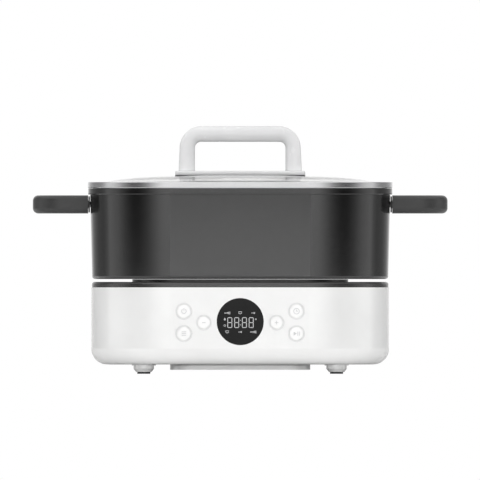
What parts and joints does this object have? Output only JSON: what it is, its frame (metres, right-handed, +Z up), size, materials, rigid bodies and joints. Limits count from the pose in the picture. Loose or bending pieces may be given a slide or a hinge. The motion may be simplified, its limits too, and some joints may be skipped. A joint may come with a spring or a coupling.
{
  "type": "electric hot pot with lid",
  "caption": "Electric hot pot: heating base with six front keys and a round display, lift-off dark pot with side handles, and lift-off domed glass lid with a bail handle.",
  "frame": {"origin": "middle of the footprint on the surface that the rubber feet stand on", "axes": "+Z up, +X to the right seen from the control panel, which faces -Y"},
  "size_m": [0.4148, 0.2526, 0.2477],
  "materials": {
    "white_plastic": "glossy white moulded plastic",
    "key_plastic": "glossy white moulded plastic with a grey ring at the edge",
    "black_rubber": "matt black rubber",
    "dark_coating": "satin dark grey coating on cast aluminium",
    "pot_coating": "satin dark grey non-stick coating on cast aluminium",
    "steel": "plain steel",
    "dark_steel": "black painted steel",
    "rim_steel": "polished stainless band",
    "display_glass": "black tinted glass",
    "black_plastic": "matt black plastic",
    "handle_plastic": "satin dark grey heat-proof plastic",
    "circuit_board": "green circuit board",
    "terminal_plastic": "green terminal plastic",
    "brass": "plain brass",
    "wire_insulation": "silicone wire insulation",
    "lid_glass": "clear tempered glass",
    "grey_plastic": "satin light grey plastic",
    "dark_silicone": "dark grey silicone"
  },
  "bodies": {
    "base": {"base_housing": "white_plastic", "bottom_cover": "white_plastic", "foot_front_left": "white_plastic", "foot_front_right": "white_plastic", "foot_rear_left": "white_plastic", "foot_rear_right": "white_plastic", "foot_pad_front_left": "black_rubber", "foot_pad_front_right": "black_rubber", "foot_pad_rear_left": "black_rubber", "foot_pad_rear_right": "black_rubber", "top_plate": "dark_coating", "heating_plate": "dark_coating", "heat_shield": "steel", "heating_element": "steel", "shield_screws": "steel", "cover_screws": "steel", "top_plate_screws": "steel", "board_screws": "steel", "power_board_screws": "steel", "sensor_holder": "steel", "thermal_cutoff": "steel", "sensor_spring": "steel", "display_window": "display_glass", "display_module": "black_plastic", "tact_switches": "black_plastic", "power_relay": "black_plastic", "supply_transformer": "black_plastic", "inlet_socket": "black_plastic", "filter_capacitor": "black_plastic", "control_board": "circuit_board", "power_board": "circuit_board", "terminal_block": "terminal_plastic", "inlet_pins": "brass", "mains_wires": "wire_insulation", "heater_wires": "wire_insulation", "panel_cable": "wire_insulation"},
    "sensor": {"sensor_cap": "steel", "sensor_clip": "steel"},
    "key_power": {"key_power": "key_plastic"},
    "key_menu": {"key_menu": "key_plastic"},
    "key_minus": {"key_minus": "key_plastic"},
    "key_plus": {"key_plus": "key_plastic"},
    "key_timer": {"key_timer": "key_plastic"},
    "key_start": {"key_start": "key_plastic"},
    "pot": {"pot_shell": "pot_coating", "pot_handle_left": "handle_plastic", "pot_handle_right": "handle_plastic", "handle_bracket_left": "dark_steel", "handle_bracket_right": "dark_steel", "handle_rivets": "steel", "handle_screws": "steel"},
    "lid": {"lid_rim": "rim_steel", "lid_glass": "lid_glass", "lid_handle": "grey_plastic", "handle_guard_plate": "grey_plastic", "handle_bushes": "grey_plastic", "handle_gasket": "dark_silicone", "handle_washers": "dark_silicone", "lid_handle_screws": "steel", "steam_vent": "steel"}
  },
  "joints": [
    {"name": "pot_lift", "type": "slide", "parent": "base", "child": "pot", "axis": [0, 0, 1], "range_m": [0, 0.12]},
    {"name": "lid_lift", "type": "slide", "parent": "pot", "child": "lid", "axis": [0, 0, 1], "range_m": [0, 0.12]},
    {"name": "sensor_press", "type": "slide", "parent": "base", "child": "sensor", "axis": [0, 0, 1], "range_m": [0, 0.0025], "deforming": ["sensor_spring"]},
    {"name": "key_power_press", "type": "slide", "parent": "base", "child": "key_power", "axis": [0, 1, 0], "range_m": [0, 0.0005], "stiffness_N_per_m": 600, "springref_m": -0.0005},
    {"name": "key_menu_press", "type": "slide", "parent": "base", "child": "key_menu", "axis": [0, 1, 0], "range_m": [0, 0.0005], "stiffness_N_per_m": 600, "springref_m": -0.0005},
    {"name": "key_minus_press", "type": "slide", "parent": "base", "child": "key_minus", "axis": [0, 1, 0], "range_m": [0, 0.0005], "stiffness_N_per_m": 600, "springref_m": -0.0005},
    {"name": "key_plus_press", "type": "slide", "parent": "base", "child": "key_plus", "axis": [0, 1, 0], "range_m": [0, 0.0005], "stiffness_N_per_m": 600, "springref_m": -0.0005},
    {"name": "key_timer_press", "type": "slide", "parent": "base", "child": "key_timer", "axis": [0, 1, 0], "range_m": [0, 0.0005], "stiffness_N_per_m": 600, "springref_m": -0.0005},
    {"name": "key_start_press", "type": "slide", "parent": "base", "child": "key_start", "axis": [0, 1, 0], "range_m": [0, 0.0005], "stiffness_N_per_m": 600, "springref_m": -0.0005}
  ],
  "couplings": [
    {"joint": "sensor_press", "follows": "pot_lift", "ratio": 0.02}
  ]
}
